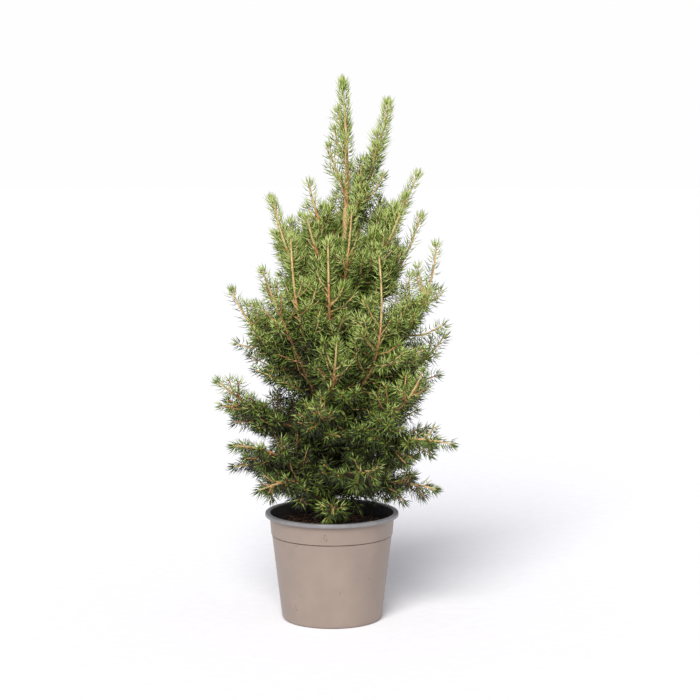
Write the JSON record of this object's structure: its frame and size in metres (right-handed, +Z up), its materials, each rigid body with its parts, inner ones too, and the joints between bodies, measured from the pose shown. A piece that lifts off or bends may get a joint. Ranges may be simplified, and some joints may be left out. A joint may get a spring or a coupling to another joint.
{
  "type": "potted alberta spruce",
  "caption": "Young conical dwarf alberta spruce with needled boughs, whole from soil to tip, growing in a round two-tone nursery pot.",
  "frame": {"origin": "centre of the pot's flat underside, on the surface it stands on", "axes": "+Z up along the pot's axis, -Y towards the front that the picture shows, +X to the picture's right"},
  "size_m": [0.2937, 0.2637, 0.69],
  "materials": {
    "pot": "satin thermoformed, taupe outside, grey lip and inside",
    "soil": "moist peat",
    "bark": "orange-brown young bark",
    "foliage": "needles"
  },
  "bodies": {
    "root": {"pot": "pot", "soil": "soil", "trunk": "bark", "bough_01_low": "bark", "bough_03_low": "bark", "bough_04_low": "bark", "bough_05_low": "bark", "bough_06_low": "bark", "bough_07_low": "bark", "bough_08_low": "bark", "bough_09_low": "bark", "bough_10_low": "bark", "bough_11_low": "bark", "bough_12_middle": "bark", "bough_13_middle": "bark", "bough_14_middle": "bark", "bough_15_middle": "bark", "bough_16_middle": "bark", "bough_17_middle": "bark", "bough_18_middle": "bark", "bough_19_middle": "bark", "foliage_01_low": "foliage", "foliage_02_low": "foliage", "foliage_03_low": "foliage", "foliage_04_low": "foliage", "foliage_05_low": "foliage", "foliage_06_low": "foliage", "foliage_07_low": "foliage", "foliage_08_low": "foliage", "foliage_09_low": "foliage", "foliage_10_low": "foliage", "foliage_11_low": "foliage", "foliage_12_middle": "foliage", "foliage_13_middle": "foliage", "foliage_14_middle": "foliage", "foliage_15_middle": "foliage", "foliage_16_middle": "foliage", "foliage_17_middle": "foliage", "foliage_18_middle": "foliage", "foliage_19_middle": "foliage", "foliage_20_steep": "foliage", "foliage_21_steep": "foliage", "foliage_22_steep": "foliage", "foliage_23_steep": "foliage", "foliage_24_steep": "foliage", "foliage_25_steep": "foliage", "foliage_26_upper": "foliage", "foliage_27_upper": "foliage", "foliage_28_upper": "foliage", "foliage_29_upper": "foliage", "foliage_30_upper": "foliage", "foliage_31_upper": "foliage", "foliage_32_upper": "foliage", "foliage_33_upper": "foliage", "foliage_34_upper": "foliage", "foliage_35_upper": "foliage", "foliage_36_upper": "foliage", "foliage_37_upper": "foliage", "foliage_38_upper": "foliage", "foliage_leader": "foliage"}
  },
  "joints": []
}
